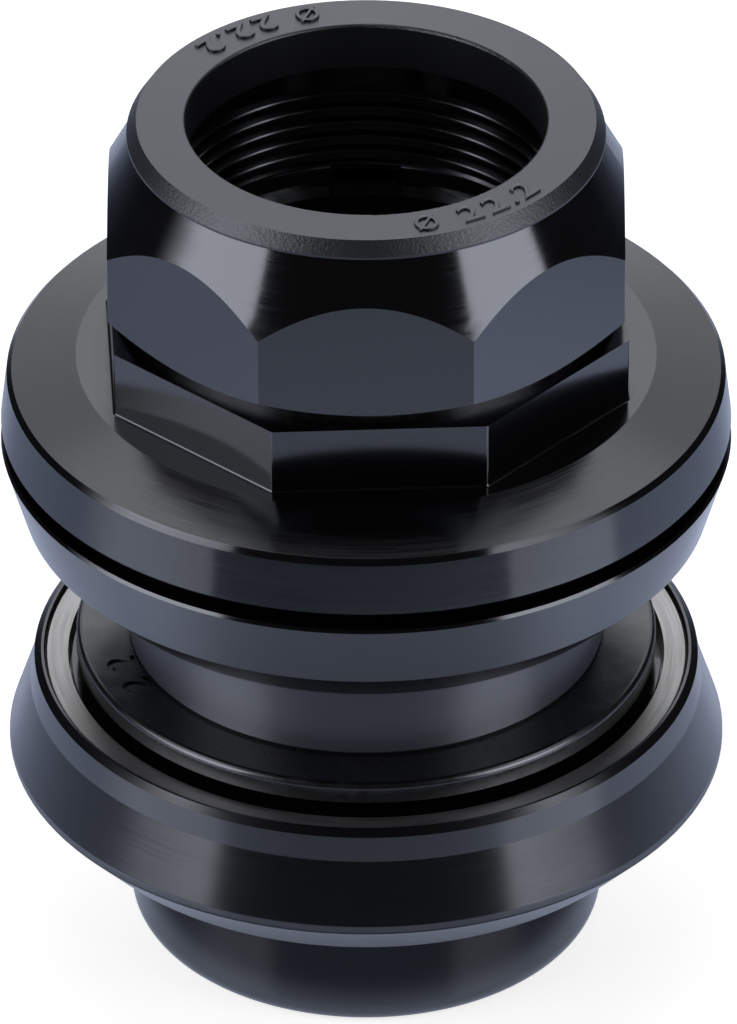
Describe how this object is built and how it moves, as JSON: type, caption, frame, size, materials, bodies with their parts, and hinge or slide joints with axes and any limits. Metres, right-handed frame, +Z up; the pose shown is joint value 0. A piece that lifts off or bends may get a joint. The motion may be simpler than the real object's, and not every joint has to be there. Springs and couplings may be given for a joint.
{
  "type": "bicycle headset",
  "caption": "Threaded bicycle headset stack: flared cups with caged ball bearings, a crown race, an adjusting race with wrench flats, a lock nut and a stem seal.",
  "frame": {"origin": "centre of the ring that the stack stands on, the end of the lower cup's skirt", "axes": "+Z up along the steering axis; -Y is the front, towards a flat of the lock nut"},
  "size_m": [0.046, 0.046, 0.0584],
  "materials": {
    "black_anodised": "black anodised, fine turned lines",
    "track_steel": "ground, matt",
    "black_steel": "black oxide",
    "ball_steel": "polished",
    "cage_plastic": "moulded, smooth",
    "seal_plastic": "moulded, fine grain"
  },
  "bodies": {
    "lower_cup_set": {"lower_cup": "black_anodised", "lower_cup_track": "track_steel"},
    "lower_ball_cage": {"lower_retainer": "cage_plastic", "lower_ball_01": "ball_steel", "lower_ball_02": "ball_steel", "lower_ball_03": "ball_steel", "lower_ball_04": "ball_steel", "lower_ball_05": "ball_steel", "lower_ball_06": "ball_steel", "lower_ball_07": "ball_steel", "lower_ball_08": "ball_steel", "lower_ball_09": "ball_steel", "lower_ball_10": "ball_steel", "lower_ball_11": "ball_steel", "lower_ball_12": "ball_steel", "lower_ball_13": "ball_steel", "lower_ball_14": "ball_steel", "lower_ball_15": "ball_steel"},
    "crown_race_set": {"crown_race": "black_steel", "upper_cup": "black_anodised", "upper_cup_track": "track_steel"},
    "upper_ball_cage": {"upper_retainer": "cage_plastic", "upper_ball_01": "ball_steel", "upper_ball_02": "ball_steel", "upper_ball_03": "ball_steel", "upper_ball_04": "ball_steel", "upper_ball_05": "ball_steel", "upper_ball_06": "ball_steel", "upper_ball_07": "ball_steel", "upper_ball_08": "ball_steel", "upper_ball_09": "ball_steel", "upper_ball_10": "ball_steel", "upper_ball_11": "ball_steel", "upper_ball_12": "ball_steel", "upper_ball_13": "ball_steel", "upper_ball_14": "ball_steel", "upper_ball_15": "ball_steel"},
    "adjuster_set": {"adjusting_race": "black_anodised", "upper_cone": "track_steel", "lock_washer": "black_steel", "lock_nut": "black_anodised", "stem_seal": "seal_plastic"}
  },
  "joints": [
    {"name": "crown_race_turn", "type": "hinge", "parent": "lower_cup_set", "child": "crown_race_set", "pos_m": [0, 0, 0.01605], "axis": [0, 0, 1], "continuous": true},
    {"name": "lower_cage_roll", "type": "hinge", "parent": "lower_cup_set", "child": "lower_ball_cage", "pos_m": [0, 0, 0.01605], "axis": [0, 0, 1], "continuous": true},
    {"name": "adjuster_turn", "type": "hinge", "parent": "crown_race_set", "child": "adjuster_set", "pos_m": [0, 0, 0.03379], "axis": [0, 0, 1], "continuous": true},
    {"name": "upper_cage_roll", "type": "hinge", "parent": "crown_race_set", "child": "upper_ball_cage", "pos_m": [0, 0, 0.03379], "axis": [0, 0, 1], "continuous": true}
  ],
  "couplings": [
    {"joint": "lower_cage_roll", "follows": "crown_race_turn", "ratio": 0.457},
    {"joint": "upper_cage_roll", "follows": "adjuster_turn", "ratio": 0.457}
  ]
}
